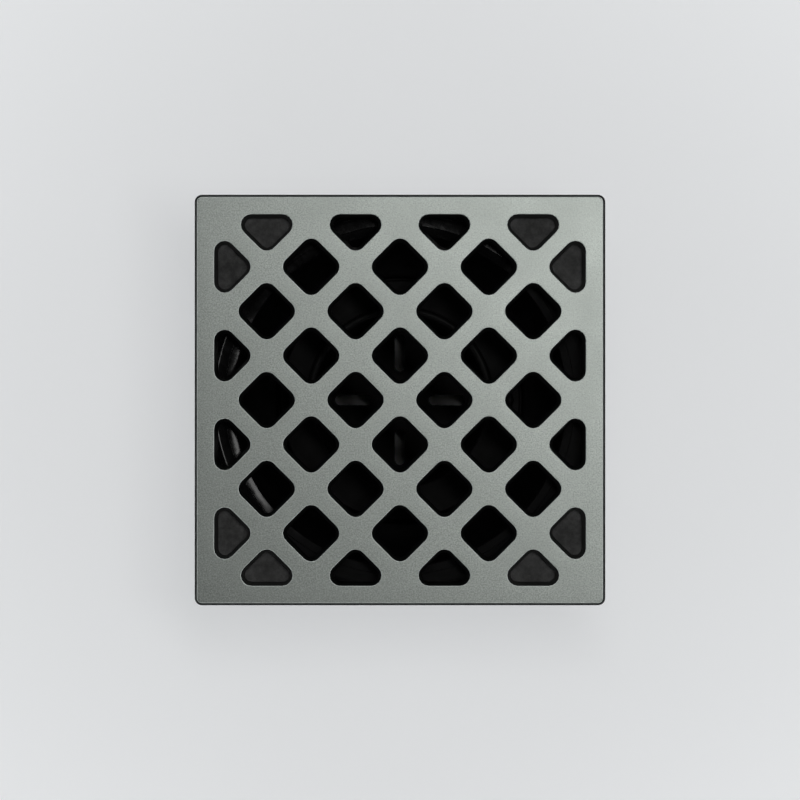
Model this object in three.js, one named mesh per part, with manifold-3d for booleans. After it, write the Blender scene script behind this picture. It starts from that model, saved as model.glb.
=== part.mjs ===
// Square shower drain cover for a tiled floor: a cast metal grate with a diamond lattice that lies
// flush in a black moulded riser. The riser is a square head, a round bowl and a threaded neck, and a
// hair trap with a folding wire handle hangs in the neck. Millimetres, +Z up, origin at the middle of
// the neck's lower end.

import * as THREE from 'three';
import { mergeVertices } from 'three/addons/utils/BufferGeometryUtils.js';
import Module from 'manifold-3d';

const wasm = await Module();
wasm.setup();

// ---- Driving dimensions ----

const FIT_GAP = 0.3; // between separate pieces that rest on each other
const OVERCUT = 1; // how far a cutter runs past the face it opens

const GRATE_SIDE = 95.25;
const GRATE_CORNER = 1.5;
const GRATE_THICKNESS = 4.76;
const GRATE_TOP = 70;
const GRATE_BORDER = 4.06; // solid edge outside the holes
const LATTICE_STEP = 10.41; // from one hole's centre to the next row, along X or Y
const LATTICE_WEB = 3.94; // bar between two holes
const LATTICE_REACH = 3; // rows of whole diamonds on each side of the middle
const HOLE_CORNER = 2.46;
const HOLE_DRAFT = 0.68; // how much smaller a hole is at the underside, on each side

const PAD_PLACE = 42.3; // from the middle to a pad, along X and along Y
const PAD_RADIUS = 3.5;
const PAD_THICKNESS = 1.05;
const PAD_STEM_RADIUS = 1.4;
const PAD_STEM_LENGTH = 2.2;

const RIM_GAP = 0.2; // all round the grate
const RIM_THICKNESS = 0.3;
const RIM_BELOW_FACE = 0.2;
const SHELF_THICKNESS = 2.6;
const HEAD_BASE = 53.7;
const HEAD_WALL = 2.4;
const MORTAR_GROOVE = { base: 57.4, height: 2.4, depth: 0.8 };

const BORE_RADIUS = 45.7;
const BORE_WALL = 2.2;
const LEDGE_Z = 57.6;
const LEDGE_COVE = 1.5;
const LEDGE_NOSE = 0.9; // rounding where the ledge turns down into the bowl
const BOWL_RADIUS = 41.3;
const BOWL_WALL = 3;

const THROAT_RADIUS = 25;
const SEAT_Z = 34;
const SEAT_RADIUS = 29.6;
const SEAT_TOP = 36.6;
const SHOULDER_Z = 31;
const NECK_CHAMFER = 0.8;
const THREAD_MAJOR = 29.75; // two-inch straight pipe thread, 11.5 turns to the inch
const THREAD_ROOT = 28.35;
const THREAD_PITCH = 25.4 / 11.5;
const THREAD_TURNS = 11;
const THREAD_START = 3.4;
const GUSSET_THICKNESS = 2.2;

const TRAP_FLANGE_RADIUS = 28.9;
const TRAP_FLANGE_Z = 36.3;
const TRAP_FLANGE_THICKNESS = 2;
const TRAP_FLOOR_Z = 10;
const TRAP_WALL = 1.9;
const TRAP_TOP_RADIUS = 22.8;
const TRAP_FLOOR_RADIUS = 21;
const TRAP_SLOTS = 12;
const TRAP_SLOT = { width: 3, base: 15, top: 31 };
const FLOOR_SLOTS = 8;

const WIRE_RADIUS = 1;
const BAIL_RADIUS = 21.6;
const BOSS_INNER = 23.6;
const BOSS_OUTER = 27;
const BOSS_RADIUS = 2.6;

const ROUND = 48; // facets round a large lathed piece
const ROUND_SMALL = 16;

// ---- Sizes that follow from them ----

const GRATE_UNDERSIDE = GRATE_TOP - GRATE_THICKNESS;
const RECESS_HALF = GRATE_SIDE / 2 + RIM_GAP;
const HEAD_HALF = RECESS_HALF + RIM_THICKNESS;
const HEAD_CORNER = GRATE_CORNER + RIM_GAP + RIM_THICKNESS;
const SHELF_Z = GRATE_UNDERSIDE - FIT_GAP - PAD_THICKNESS - FIT_GAP;
const BORE_OUTSIDE = BORE_RADIUS + BORE_WALL;
const TRAP_RIM_Z = TRAP_FLANGE_Z + TRAP_FLANGE_THICKNESS;
const BAIL_Z = TRAP_RIM_Z + FIT_GAP + WIRE_RADIUS;

// ---- Shapes ----

const at = (x, y) => new THREE.Vector2(x, y);

/** A polygon, its corners listed anticlockwise, with every corner rounded by a tangent arc. */
function roundedShape(corners, radius) {
  const shape = new THREE.Shape();
  corners.forEach((corner, i) => {
    const back = corners.at(i - 1).clone().sub(corner).normalize();
    const on = corners[(i + 1) % corners.length].clone().sub(corner).normalize();
    const half = Math.acos(back.dot(on)) / 2;
    const centre = back.clone().add(on).setLength(radius / Math.sin(half)).add(corner);
    const reach = radius / Math.tan(half);
    const start = back.setLength(reach).add(corner).sub(centre).angle();
    const end = on.setLength(reach).add(corner).sub(centre).angle();
    shape.absarc(centre.x, centre.y, radius, start, end, false);
  });
  return shape;
}

function squareShape(half, radius) {
  return roundedShape([at(-half, -half), at(half, -half), at(half, half), at(-half, half)], radius);
}

function extrude(shape, base, top, segments = 2) {
  const options = { depth: top - base, bevelEnabled: false, curveSegments: segments };
  return new THREE.ExtrudeGeometry(shape, options).translate(0, 0, base);
}

/** Spins a path of (radius, height) points, listed anticlockwise, about the Z axis. */
function spin(path, facets = ROUND) {
  return new THREE.LatheGeometry(path.getPoints(3), facets).rotateX(Math.PI / 2);
}

function pathThrough(points) {
  const path = new THREE.Path();
  path.moveTo(points[0][0], points[0][1]);
  points.slice(1).forEach(([radius, height]) => path.lineTo(radius, height));
  return path;
}

function cylinder(radius, base, top, facets = ROUND) {
  return spin(pathThrough([[0, base], [radius, base], [radius, top], [0, top]]), facets);
}

function box(sizeX, sizeY, base, top) {
  return new THREE.BoxGeometry(sizeX, sizeY, top - base).translate(0, 0, (base + top) / 2);
}

// ---- Joining and cutting ----

function solid(geometry) {
  geometry.deleteAttribute('normal');
  geometry.deleteAttribute('uv');
  const merged = mergeVertices(geometry, 1e-4);
  return new wasm.Manifold(new wasm.Mesh({
    numProp: 3,
    vertProperties: merged.attributes.position.array,
    triVerts: new Uint32Array(merged.index.array),
  }));
}

function geometryOf(body) {
  const { vertProperties, triVerts } = body.getMesh();
  const geometry = new THREE.BufferGeometry();
  geometry.setAttribute('position', new THREE.BufferAttribute(vertProperties, 3));
  geometry.setIndex(new THREE.BufferAttribute(triVerts, 1));
  geometry.computeVertexNormals();
  return geometry;
}

// ---- Materials ----

const satinMetal = new THREE.MeshStandardMaterial({ color: 0x8d928e, roughness: 0.42, metalness: 1 });
const blackPlastic = new THREE.MeshStandardMaterial({ color: 0x101112, roughness: 0.3, metalness: 0 });
const blackRubber = new THREE.MeshStandardMaterial({ color: 0x1a1a1a, roughness: 0.85, metalness: 0 });
const coatedWire = new THREE.MeshStandardMaterial({ color: 0x1c1c1d, roughness: 0.4, metalness: 0 });

function piece(name, geometry, material) {
  const mesh = new THREE.Mesh(geometry, material.clone());
  mesh.name = name;
  return mesh;
}

// ---- Grate ----

/** Cuts one hole right through the plate, wide at the face and narrower at the underside. */
function holeCutter(outline) {
  const deeper = (GRATE_THICKNESS + OVERCUT) / GRATE_THICKNESS;
  const geometry = new THREE.ExtrudeGeometry(outline, {
    depth: OVERCUT,
    curveSegments: 2,
    bevelSegments: 1,
    bevelThickness: GRATE_THICKNESS * deeper,
    bevelSize: HOLE_DRAFT * deeper,
    bevelOffset: -HOLE_DRAFT * deeper,
  });
  return solid(geometry.translate(0, 0, GRATE_TOP));
}

function diamondAt(x, y, halfDiagonal) {
  const corners = [
    at(x - halfDiagonal, y),
    at(x, y - halfDiagonal),
    at(x + halfDiagonal, y),
    at(x, y + halfDiagonal),
  ];
  return roundedShape(corners, HOLE_CORNER);
}

/** The part of a diamond centred off the lattice's edge that lies inside the border. */
function edgeTriangle(along, halfDiagonal) {
  const edge = GRATE_SIDE / 2 - GRATE_BORDER;
  const vertex = (LATTICE_REACH + 1) * LATTICE_STEP - halfDiagonal;
  const reach = edge - vertex;
  return roundedShape([at(along, vertex), at(along + reach, edge), at(along - reach, edge)], HOLE_CORNER);
}

function grateHoles() {
  const halfDiagonal = LATTICE_STEP - LATTICE_WEB / Math.SQRT2;
  const cutters = [];
  for (let a = -LATTICE_REACH; a <= LATTICE_REACH; a += 1) {
    for (let b = -LATTICE_REACH; b <= LATTICE_REACH; b += 1) {
      if ((a + b) % 2 !== 0) {
        cutters.push(holeCutter(diamondAt(a * LATTICE_STEP, b * LATTICE_STEP, halfDiagonal)));
      }
    }
    if (a % 2 !== 0) {
      const cutter = holeCutter(edgeTriangle(a * LATTICE_STEP, halfDiagonal));
      [0, 90, 180, 270].forEach((turn) => cutters.push(cutter.rotate([0, 0, turn])));
    }
  }
  return cutters;
}

/** Calls make once for each corner of the square, with its two signs and its name. */
function eachCorner(make) {
  const corners = [
    [-1, -1, 'front_left'],
    [1, -1, 'front_right'],
    [-1, 1, 'back_left'],
    [1, 1, 'back_right'],
  ];
  return corners.map(([signX, signY, name]) => make(signX, signY, name));
}

function grate() {
  let plate = solid(extrude(squareShape(GRATE_SIDE / 2, GRATE_CORNER), GRATE_UNDERSIDE, GRATE_TOP));
  grateHoles().forEach((cutter) => {
    plate = plate.subtract(cutter);
  });
  const socketTop = GRATE_UNDERSIDE + PAD_STEM_LENGTH + FIT_GAP;
  const socket = cylinder(PAD_STEM_RADIUS + FIT_GAP, GRATE_UNDERSIDE - OVERCUT, socketTop, ROUND_SMALL);
  const socketSolid = solid(socket);
  eachCorner((signX, signY) => {
    plate = plate.subtract(socketSolid.translate([signX * PAD_PLACE, signY * PAD_PLACE, 0]));
  });
  return piece('grate', geometryOf(plate), satinMetal);
}

/** A rubber button whose stem plugs into the grate's underside, so that the grate does not rattle. */
function gratePads() {
  const top = PAD_THICKNESS;
  const edge = 0.3;
  const outline = pathThrough([
    [0, 0],
    [PAD_RADIUS - edge, 0],
    [PAD_RADIUS, edge],
    [PAD_RADIUS, top],
    [PAD_STEM_RADIUS, top],
    [PAD_STEM_RADIUS, top + PAD_STEM_LENGTH],
    [0, top + PAD_STEM_LENGTH],
  ]);
  return eachCorner((signX, signY, name) => {
    const pad = piece(`grate_pad_${name}`, spin(outline, ROUND_SMALL), blackRubber);
    pad.position.set(signX * PAD_PLACE, signY * PAD_PLACE, SHELF_Z + FIT_GAP);
    return pad;
  });
}

// ---- Riser ----

/** The outside of the round part: neck, shoulder and bowl, up to the head. */
function riserOutside() {
  const path = pathThrough([
    [0, 0],
    [THREAD_ROOT - NECK_CHAMFER, 0],
    [THREAD_ROOT, NECK_CHAMFER],
    [THREAD_ROOT, SHOULDER_Z],
    [SEAT_RADIUS + BOWL_WALL, SHOULDER_Z + OVERCUT],
  ]);
  const bowlOutside = BOWL_RADIUS + BOWL_WALL;
  path.quadraticCurveTo(bowlOutside - 1, SHOULDER_Z + 5, bowlOutside, HEAD_BASE);
  path.lineTo(BORE_OUTSIDE, HEAD_BASE);
  path.lineTo(BORE_OUTSIDE, SHELF_Z);
  path.lineTo(0, SHELF_Z);
  return solid(spin(path));
}

/** The waterway: throat, trap seat, bowl, ledge and bore. */
function riserInside() {
  const path = pathThrough([
    [0, -OVERCUT],
    [THROAT_RADIUS, -OVERCUT],
    [THROAT_RADIUS, SEAT_Z],
    [SEAT_RADIUS, SEAT_Z],
    [SEAT_RADIUS, SEAT_TOP],
  ]);
  const noseZ = LEDGE_Z - LEDGE_NOSE;
  path.quadraticCurveTo(BOWL_RADIUS - 1, SEAT_TOP + 4, BOWL_RADIUS, noseZ);
  path.absarc(BOWL_RADIUS + LEDGE_NOSE, noseZ, LEDGE_NOSE, Math.PI, Math.PI / 2, true);
  path.absarc(BORE_RADIUS - LEDGE_COVE, LEDGE_Z + LEDGE_COVE, LEDGE_COVE, -Math.PI / 2, 0, false);
  path.lineTo(BORE_RADIUS, SHELF_Z + OVERCUT);
  path.lineTo(0, SHELF_Z + OVERCUT);
  return solid(spin(path));
}

/** The thread's centre line at its root, whose ends sink into the neck. */
class ThreadLine extends THREE.Curve {
  getPoint(t, target = new THREE.Vector3()) {
    const turn = t * THREAD_TURNS;
    const runOut = 0.25; // of a turn
    const sunk = Math.max(0, 1 - Math.min(turn, THREAD_TURNS - turn) / runOut);
    const radius = THREAD_ROOT - sunk * (THREAD_MAJOR - THREAD_ROOT);
    const angle = turn * 2 * Math.PI;
    const height = THREAD_START + turn * THREAD_PITCH;
    return target.set(radius * Math.cos(angle), radius * Math.sin(angle), height);
  }

  getPointAt(t, target) {
    return this.getPoint(t, target);
  }

  /** Frames that keep the section upright, with its own X pointing away from the neck's axis. */
  computeFrenetFrames(segments) {
    const frames = { tangents: [], normals: [], binormals: [] };
    for (let i = 0; i <= segments; i += 1) {
      const angle = (i / segments) * THREAD_TURNS * 2 * Math.PI;
      frames.tangents.push(new THREE.Vector3(-Math.sin(angle), Math.cos(angle), 0));
      frames.normals.push(new THREE.Vector3(Math.cos(angle), Math.sin(angle), 0));
      frames.binormals.push(new THREE.Vector3(0, 0, -1));
    }
    return frames;
  }
}

function thread() {
  const stepsPerTurn = 24;
  const sink = 0.15; // of the section inside the neck
  const rootHalf = 1.08;
  const crestHalf = 0.2;
  const height = THREAD_MAJOR - THREAD_ROOT;
  const section = new THREE.Shape([
    at(-sink, -rootHalf),
    at(height, -crestHalf),
    at(height, crestHalf),
    at(-sink, rootHalf),
  ]);
  const steps = THREAD_TURNS * stepsPerTurn;
  return solid(new THREE.ExtrudeGeometry(section, { steps, extrudePath: new ThreadLine() }));
}

/** Four upright plates on the diagonals that carry the head's corners on the bowl. */
function gussets() {
  const outline = new THREE.Shape();
  const cornerReach = (HEAD_HALF - HEAD_WALL) * Math.SQRT2;
  outline.moveTo(SEAT_RADIUS + 1, SHOULDER_Z + 3);
  outline.quadraticCurveTo(BOWL_RADIUS + 6, SHOULDER_Z + 5, cornerReach, HEAD_BASE);
  outline.lineTo(cornerReach, SHELF_Z - 1);
  outline.lineTo(SEAT_RADIUS + 1, SHELF_Z - 1);
  const options = { depth: GUSSET_THICKNESS, bevelEnabled: false, curveSegments: 8 };
  const plate = new THREE.ExtrudeGeometry(outline, options)
    .translate(0, 0, -GUSSET_THICKNESS / 2)
    .rotateX(Math.PI / 2);
  const first = solid(plate);
  return [45, 135, 225, 315].map((turn) => first.rotate([0, 0, turn]));
}

/** The square head: an outer wall, open below at its four corners. */
function head() {
  const rimTop = GRATE_TOP - RIM_BELOW_FACE;
  const block = solid(extrude(squareShape(HEAD_HALF, HEAD_CORNER), HEAD_BASE, rimTop));
  const pocketHalf = HEAD_HALF - HEAD_WALL;
  const pocketTop = SHELF_Z - SHELF_THICKNESS;
  return block.subtract(solid(extrude(squareShape(pocketHalf, 1), HEAD_BASE - OVERCUT, pocketTop)));
}

/** The square recess that the grate lies in. */
function grateRecess() {
  const outline = squareShape(RECESS_HALF, GRATE_CORNER + RIM_GAP);
  return solid(extrude(outline, SHELF_Z, GRATE_TOP + OVERCUT));
}

/** A shallow groove round the head that keys it into the mortar bed. */
function mortarGroove() {
  const { base, height, depth } = MORTAR_GROOVE;
  const top = base + height;
  const outside = solid(extrude(squareShape(HEAD_HALF + OVERCUT, HEAD_CORNER), base, top));
  const floor = squareShape(HEAD_HALF - depth, HEAD_CORNER - depth);
  return outside.subtract(solid(extrude(floor, base - OVERCUT, top + OVERCUT)));
}

function riser() {
  let body = head().add(riserOutside());
  gussets().forEach((plate) => {
    body = body.add(plate);
  });
  body = body.subtract(mortarGroove()).subtract(grateRecess()).subtract(riserInside());
  return piece('riser', geometryOf(body.add(thread())), blackPlastic);
}

// ---- Hair trap ----

function trapCup() {
  const floorTop = TRAP_FLOOR_Z + TRAP_WALL;
  return solid(spin(pathThrough([
    [0, TRAP_FLOOR_Z],
    [TRAP_FLOOR_RADIUS - 1, TRAP_FLOOR_Z],
    [TRAP_FLOOR_RADIUS, TRAP_FLOOR_Z + 1],
    [TRAP_TOP_RADIUS, TRAP_FLANGE_Z],
    [TRAP_FLANGE_RADIUS, TRAP_FLANGE_Z],
    [TRAP_FLANGE_RADIUS, TRAP_RIM_Z],
    [TRAP_TOP_RADIUS - TRAP_WALL, TRAP_RIM_Z],
    [TRAP_FLOOR_RADIUS - TRAP_WALL, floorTop],
    [0, floorTop],
  ])));
}

/** The slots in the cup's wall and floor, and the holes in the two bosses. */
function trapCutters() {
  const { width, base, top } = TRAP_SLOT;
  const wallSlot = solid(box(8, width, base, top).translate(TRAP_TOP_RADIUS - 2, 0, 0));
  const floorSlot = solid(box(9, 2.6, TRAP_FLOOR_Z - OVERCUT, TRAP_FLOOR_Z + 3).translate(11.5, 0, 0));
  const drainHole = solid(cylinder(2.8, TRAP_FLOOR_Z - OVERCUT, TRAP_FLOOR_Z + 3, ROUND_SMALL));
  const cutters = [drainHole];
  for (let i = 0; i < TRAP_SLOTS; i += 1) {
    cutters.push(wallSlot.rotate([0, 0, (i + 0.5) * (360 / TRAP_SLOTS)]));
  }
  for (let i = 0; i < FLOOR_SLOTS; i += 1) {
    cutters.push(floorSlot.rotate([0, 0, i * (360 / FLOOR_SLOTS)]));
  }
  return cutters;
}

/** One lug on the trap's flange, with a cross hole along X for the wire. */
function boss(sign) {
  const width = BOSS_OUTER - BOSS_INNER;
  const middle = (sign * (BOSS_OUTER + BOSS_INNER)) / 2;
  const round = cylinder(BOSS_RADIUS, -width / 2, width / 2, ROUND_SMALL).rotateY(Math.PI / 2);
  const base = box(width, 2 * BOSS_RADIUS, TRAP_RIM_Z - 0.5, BAIL_Z);
  const hole = cylinder(WIRE_RADIUS + FIT_GAP, -width, width, ROUND_SMALL).rotateY(Math.PI / 2);
  return solid(round.translate(middle, 0, BAIL_Z))
    .add(solid(base.translate(middle, 0, 0)))
    .subtract(solid(box(width, 2 * BOSS_RADIUS, TRAP_FLANGE_Z - 2, TRAP_RIM_Z - 0.5).translate(middle, 0, 0)))
    .subtract(solid(hole.translate(middle, 0, BAIL_Z)));
}

function trapBasket() {
  let body = trapCup();
  trapCutters().forEach((cutter) => {
    body = body.subtract(cutter);
  });
  body = body.add(boss(1)).add(boss(-1));
  return piece('trap_basket', geometryOf(body), blackPlastic);
}

/** The rubber ring under the trap's flange. */
function trapSeal() {
  const inner = THROAT_RADIUS + 0.8;
  const outer = TRAP_FLANGE_RADIUS;
  const base = SEAT_Z + FIT_GAP;
  const top = TRAP_FLANGE_Z - FIT_GAP;
  const edge = 0.4;
  const outline = pathThrough([
    [inner + edge, base],
    [outer - edge, base],
    [outer, base + edge],
    [outer, top - edge],
    [outer - edge, top],
    [inner + edge, top],
    [inner, top - edge],
    [inner, base + edge],
    [inner + edge, base],
  ]);
  return piece('trap_seal', spin(outline), blackRubber);
}

/** The wire handle, folded flat on the trap's flange, its two ends turned out into the bosses. */
function trapBail() {
  const end = BOSS_OUTER + 0.4;
  const right = [
    [end, 0],
    [BOSS_INNER, 0],
    [BAIL_RADIUS + 1, 0.25],
    [BAIL_RADIUS + 0.15, 1.2],
  ];
  const arc = [];
  for (let angle = 12; angle <= 168; angle += 12) {
    const turn = THREE.MathUtils.degToRad(angle);
    arc.push([BAIL_RADIUS * Math.cos(turn), BAIL_RADIUS * Math.sin(turn)]);
  }
  const left = right.map(([x, y]) => [-x, y]).reverse();
  const points = [...right, ...arc, ...left].map(([x, y]) => new THREE.Vector3(x, y, BAIL_Z));
  const section = new THREE.Shape().absarc(0, 0, WIRE_RADIUS, 0, 2 * Math.PI, false);
  const options = { steps: 56, curveSegments: 4, extrudePath: new THREE.CatmullRomCurve3(points) };
  return piece('trap_bail', new THREE.ExtrudeGeometry(section, options), coatedWire);
}

// ---- Assembly ----

const grateGroup = new THREE.Group();
grateGroup.add(grate(), ...gratePads());

const trapGroup = new THREE.Group();
trapGroup.add(trapBasket(), trapSeal(), trapBail());

const drainCover = new THREE.Group();
drainCover.add(riser(), trapGroup, grateGroup);

export default drainCover;
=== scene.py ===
"""Square floor drain cover: a satin cast grate with a diamond lattice, flush in a black moulded riser
with a threaded neck, and a hair trap with a folding wire handle. Every piece is built round the CAD frame,
in metres, with the middle of the neck's lower end at the origin and +Z up out of the floor."""

from math import acos, atan2, cos, pi, radians, sin, sqrt, tan

import bmesh
import bpy
from bpy.props import FloatProperty, FloatVectorProperty, IntProperty, PointerProperty
from mathutils import Matrix, Vector


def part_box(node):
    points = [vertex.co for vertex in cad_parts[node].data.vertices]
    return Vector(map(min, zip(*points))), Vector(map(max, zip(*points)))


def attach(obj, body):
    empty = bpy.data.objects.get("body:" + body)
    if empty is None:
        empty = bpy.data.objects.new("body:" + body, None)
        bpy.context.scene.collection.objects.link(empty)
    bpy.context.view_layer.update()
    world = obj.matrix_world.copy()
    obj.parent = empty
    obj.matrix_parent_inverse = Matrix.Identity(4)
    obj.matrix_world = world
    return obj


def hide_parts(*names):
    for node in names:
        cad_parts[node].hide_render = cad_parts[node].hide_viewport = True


bl_info = {
    "name": "Square drain cover",
    "version": (1, 0, 0),
    "blender": (4, 5, 0),
    "location": "3D View > Sidebar > Drain cover",
    "description": "Builds the grate, riser and hair trap of a square floor drain round their CAD frame",
    "category": "Object",
}

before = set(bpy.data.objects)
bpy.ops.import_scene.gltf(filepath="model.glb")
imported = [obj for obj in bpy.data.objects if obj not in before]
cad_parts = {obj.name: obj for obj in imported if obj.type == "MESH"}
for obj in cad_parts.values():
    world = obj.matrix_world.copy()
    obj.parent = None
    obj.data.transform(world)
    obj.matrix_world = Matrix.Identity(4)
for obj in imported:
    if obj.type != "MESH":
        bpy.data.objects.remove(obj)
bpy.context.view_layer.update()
MM = 0.001
SHARP = radians(40)
NEARLY_STRAIGHT = 0.02
FLAT_WEIGHT = 60
WELD = 0.0008 * MM
TINY_EDGE = 0.0004 * MM

GRATE_LOW, GRATE_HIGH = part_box("grate")
RISER_LOW, RISER_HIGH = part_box("riser")
PAD_LOW, PAD_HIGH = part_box("grate_pad_back_right")
CUP_LOW, CUP_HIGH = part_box("trap_basket")
SEAL_LOW, SEAL_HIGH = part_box("trap_seal")
BAIL_LOW, BAIL_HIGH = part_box("trap_bail")

QUARTERS = [quarter * pi / 2 for quarter in range(4)]
CORNERS = {"front_left": (-1, -1), "front_right": (1, -1), "back_left": (-1, 1), "back_right": (1, 1)}

# Heights on the riser's outside: where its thread starts and ends, and the groove round its head.
THREAD_LOW, THREAD_HIGH = 2.4 * MM, 29.4 * MM
GROOVE_LOW, GROOVE_HIGH = 57.4 * MM, 59.8 * MM
GROOVE_DEPTH = 0.8 * MM

# How far short of the bore's outside a pocket may end and still count as open to it.
POCKET_SLACK = 0.001 * MM

# One turn of thread, cut lengthways: (distance along the neck in millimetres, share of the thread's depth).
THREAD_SHAPE = (
    (-1.1, 0.0), (-0.95, 0.04), (-0.34, 0.88), (-0.18, 1.0), (0.18, 1.0), (0.34, 0.88), (0.95, 0.04),
)

# The trap's cup: its slots, how deep they are cut, the hole in the middle of its floor, and its height.
WALL_SLOT_LENGTH, WALL_SLOT_WIDTH, WALL_SLOT_Z = 16 * MM, 3 * MM, 23 * MM
FLOOR_SLOT_LENGTH, FLOOR_SLOT_WIDTH, FLOOR_SLOT_FROM_MIDDLE = 9 * MM, 2.6 * MM, 11.5 * MM
SLOT_CUT = 8 * MM
DRAIN_HOLE = 2.8 * MM
CUP_HEIGHT = 28.3 * MM
BAIL_PIVOT_Z = (BAIL_LOW.z + BAIL_HIGH.z) / 2

DUST = (0.21, 0.21, 0.208)
RUBBER, RUBBER_BLOOM = (0.012, 0.012, 0.012), (0.035, 0.034, 0.033)
NYLON_DARK, NYLON_LIGHT = (0.006, 0.006, 0.006), (0.014, 0.014, 0.014)
LAMP_WHITE = (1.0, 1.0, 0.99)
KEY_OFFSET = Vector((0.107, 0.086, 0.914))
KEY_SIZE = (0.4, 0.1)
FLOOR_RADIUS = 6.0
# The sky's brightness as (height of a direction, from 0 level to 1 overhead, share of the brightest).
SKY_LEVELS = ((0.1, 0.42), (0.5, 1.0), (0.78, 0.008))
SKY_TINT = (0.97, 0.985, 1.0)


# ---- Settings ----


class GrateSettings(bpy.types.PropertyGroup):
    """Sizes and colour of the cast grate."""

    step: FloatProperty(
        name="Lattice step",
        description="From one row of holes to the next",
        default=10.41 * MM,
        unit="LENGTH",
    )
    web: FloatProperty(
        name="Web", description="Width of the bar between two holes", default=3.94 * MM, unit="LENGTH"
    )
    border: FloatProperty(
        name="Border", description="Solid edge outside the holes", default=4.06 * MM, unit="LENGTH"
    )
    corner: FloatProperty(
        name="Plate corner",
        description="Radius of the plate's corners",
        default=1.2 * MM,
        unit="LENGTH",
    )
    hole_corner: FloatProperty(
        name="Hole corner", description="Radius of a hole's corners", default=2.46 * MM, unit="LENGTH"
    )
    draft: FloatProperty(
        name="Draft",
        description="How much a hole narrows to the underside",
        default=0.82 * MM,
        unit="LENGTH",
    )
    arris: FloatProperty(
        name="Arris", description="Rounding of the face's edges", default=0.16 * MM, unit="LENGTH"
    )
    reach: IntProperty(name="Reach", description="Rows of holes on each side of the middle", default=3)
    colour: FloatVectorProperty(
        name="Metal",
        description="Colour of the metal",
        default=(0.309, 0.333, 0.314),
        subtype="COLOR",
        size=3,
    )


class RiserSettings(bpy.types.PropertyGroup):
    """Sizes and colour of the moulded riser."""

    rim: FloatProperty(
        name="Rim", description="Thickness of the lip round the grate", default=0.3 * MM, unit="LENGTH"
    )
    corner: FloatProperty(
        name="Recess corner",
        description="Corner radius of the recess for the grate",
        default=1.4 * MM,
        unit="LENGTH",
    )
    skirt: FloatProperty(
        name="Skirt", description="Thickness of the head's outer wall", default=2.4 * MM, unit="LENGTH"
    )
    shelf_z: FloatProperty(
        name="Shelf",
        description="Height of the shelves under the grate",
        default=63.59 * MM,
        unit="LENGTH",
    )
    shelf: FloatProperty(
        name="Shelf thickness",
        description="Thickness of the corner shelves",
        default=2.6 * MM,
        unit="LENGTH",
    )
    head_base: FloatProperty(
        name="Head base",
        description="Height of the head's lower edge",
        default=53.7 * MM,
        unit="LENGTH",
    )
    bore: FloatProperty(
        name="Bore", description="Radius of the round opening", default=45.7 * MM, unit="LENGTH"
    )
    bore_wall: FloatProperty(
        name="Bore wall", description="Wall round the bore", default=2.2 * MM, unit="LENGTH"
    )
    ledge_z: FloatProperty(
        name="Ledge",
        description="Height of the ledge",
        default=57.6 * MM,
        unit="LENGTH",
    )
    bowl: FloatProperty(
        name="Bowl", description="Radius of the ledge's inner edge", default=41.3 * MM, unit="LENGTH"
    )
    lip: FloatProperty(
        name="Lip",
        description="Width of the sloping lip inside the ledge",
        default=1.9 * MM,
        unit="LENGTH",
    )
    bowl_wall: FloatProperty(
        name="Bowl wall", description="Thickness of the bowl", default=3.0 * MM, unit="LENGTH"
    )
    throat: FloatProperty(
        name="Throat", description="Radius inside the neck", default=25.0 * MM, unit="LENGTH"
    )
    seat: FloatProperty(
        name="Seat", description="Radius of the trap's seat", default=29.6 * MM, unit="LENGTH"
    )
    seat_z: FloatProperty(
        name="Seat height", description="Height of the trap's seat", default=34.0 * MM, unit="LENGTH"
    )
    shoulder_z: FloatProperty(
        name="Shoulder",
        description="Height of the shoulder over the neck",
        default=31.0 * MM,
        unit="LENGTH",
    )
    root: FloatProperty(
        name="Thread root", description="Radius at the thread's root", default=28.35 * MM, unit="LENGTH"
    )
    crest: FloatProperty(
        name="Thread crest", description="Radius over the thread", default=29.75 * MM, unit="LENGTH"
    )
    pitch: FloatProperty(
        name="Thread pitch", description="Height of one turn", default=25.4 * MM / 11.5, unit="LENGTH"
    )
    colour: FloatVectorProperty(
        name="Plastic",
        description="Colour of the plastic",
        default=(0.0075, 0.0075, 0.008),
        subtype="COLOR",
        size=3,
    )


class TrapSettings(bpy.types.PropertyGroup):
    """Sizes and colours of the hair trap."""

    wall: FloatProperty(
        name="Wall",
        description="Thickness of the cup",
        default=1.9 * MM,
        unit="LENGTH",
    )
    mouth: FloatProperty(
        name="Mouth", description="Outer radius under the flange", default=22.8 * MM, unit="LENGTH"
    )
    floor: FloatProperty(
        name="Floor",
        description="Outer radius at the floor",
        default=21.0 * MM,
        unit="LENGTH",
    )
    flange: FloatProperty(
        name="Flange", description="Thickness of the flange", default=2.0 * MM, unit="LENGTH"
    )
    slots: IntProperty(name="Wall slots", description="Number of slots round the cup", default=12)
    floor_slots: IntProperty(name="Floor slots", description="Number of slots in the floor", default=8)
    wire: FloatProperty(
        name="Wire",
        description="Radius of the handle's wire",
        default=1.0 * MM,
        unit="LENGTH",
    )
    bail: FloatProperty(
        name="Handle",
        description="Radius of the handle's bow",
        default=21.6 * MM,
        unit="LENGTH",
    )
    boss_inner: FloatProperty(
        name="Boss inside", description="From the middle to a boss", default=23.6 * MM, unit="LENGTH"
    )
    boss_outer: FloatProperty(
        name="Boss outside",
        description="From the middle to a boss's far side",
        default=27.0 * MM,
        unit="LENGTH",
    )
    boss: FloatProperty(name="Boss", description="Radius of a boss", default=2.6 * MM, unit="LENGTH")
    colour: FloatVectorProperty(
        name="Cup",
        description="Colour of the cup",
        default=(0.005, 0.005, 0.0052),
        subtype="COLOR",
        size=3,
    )


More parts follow.
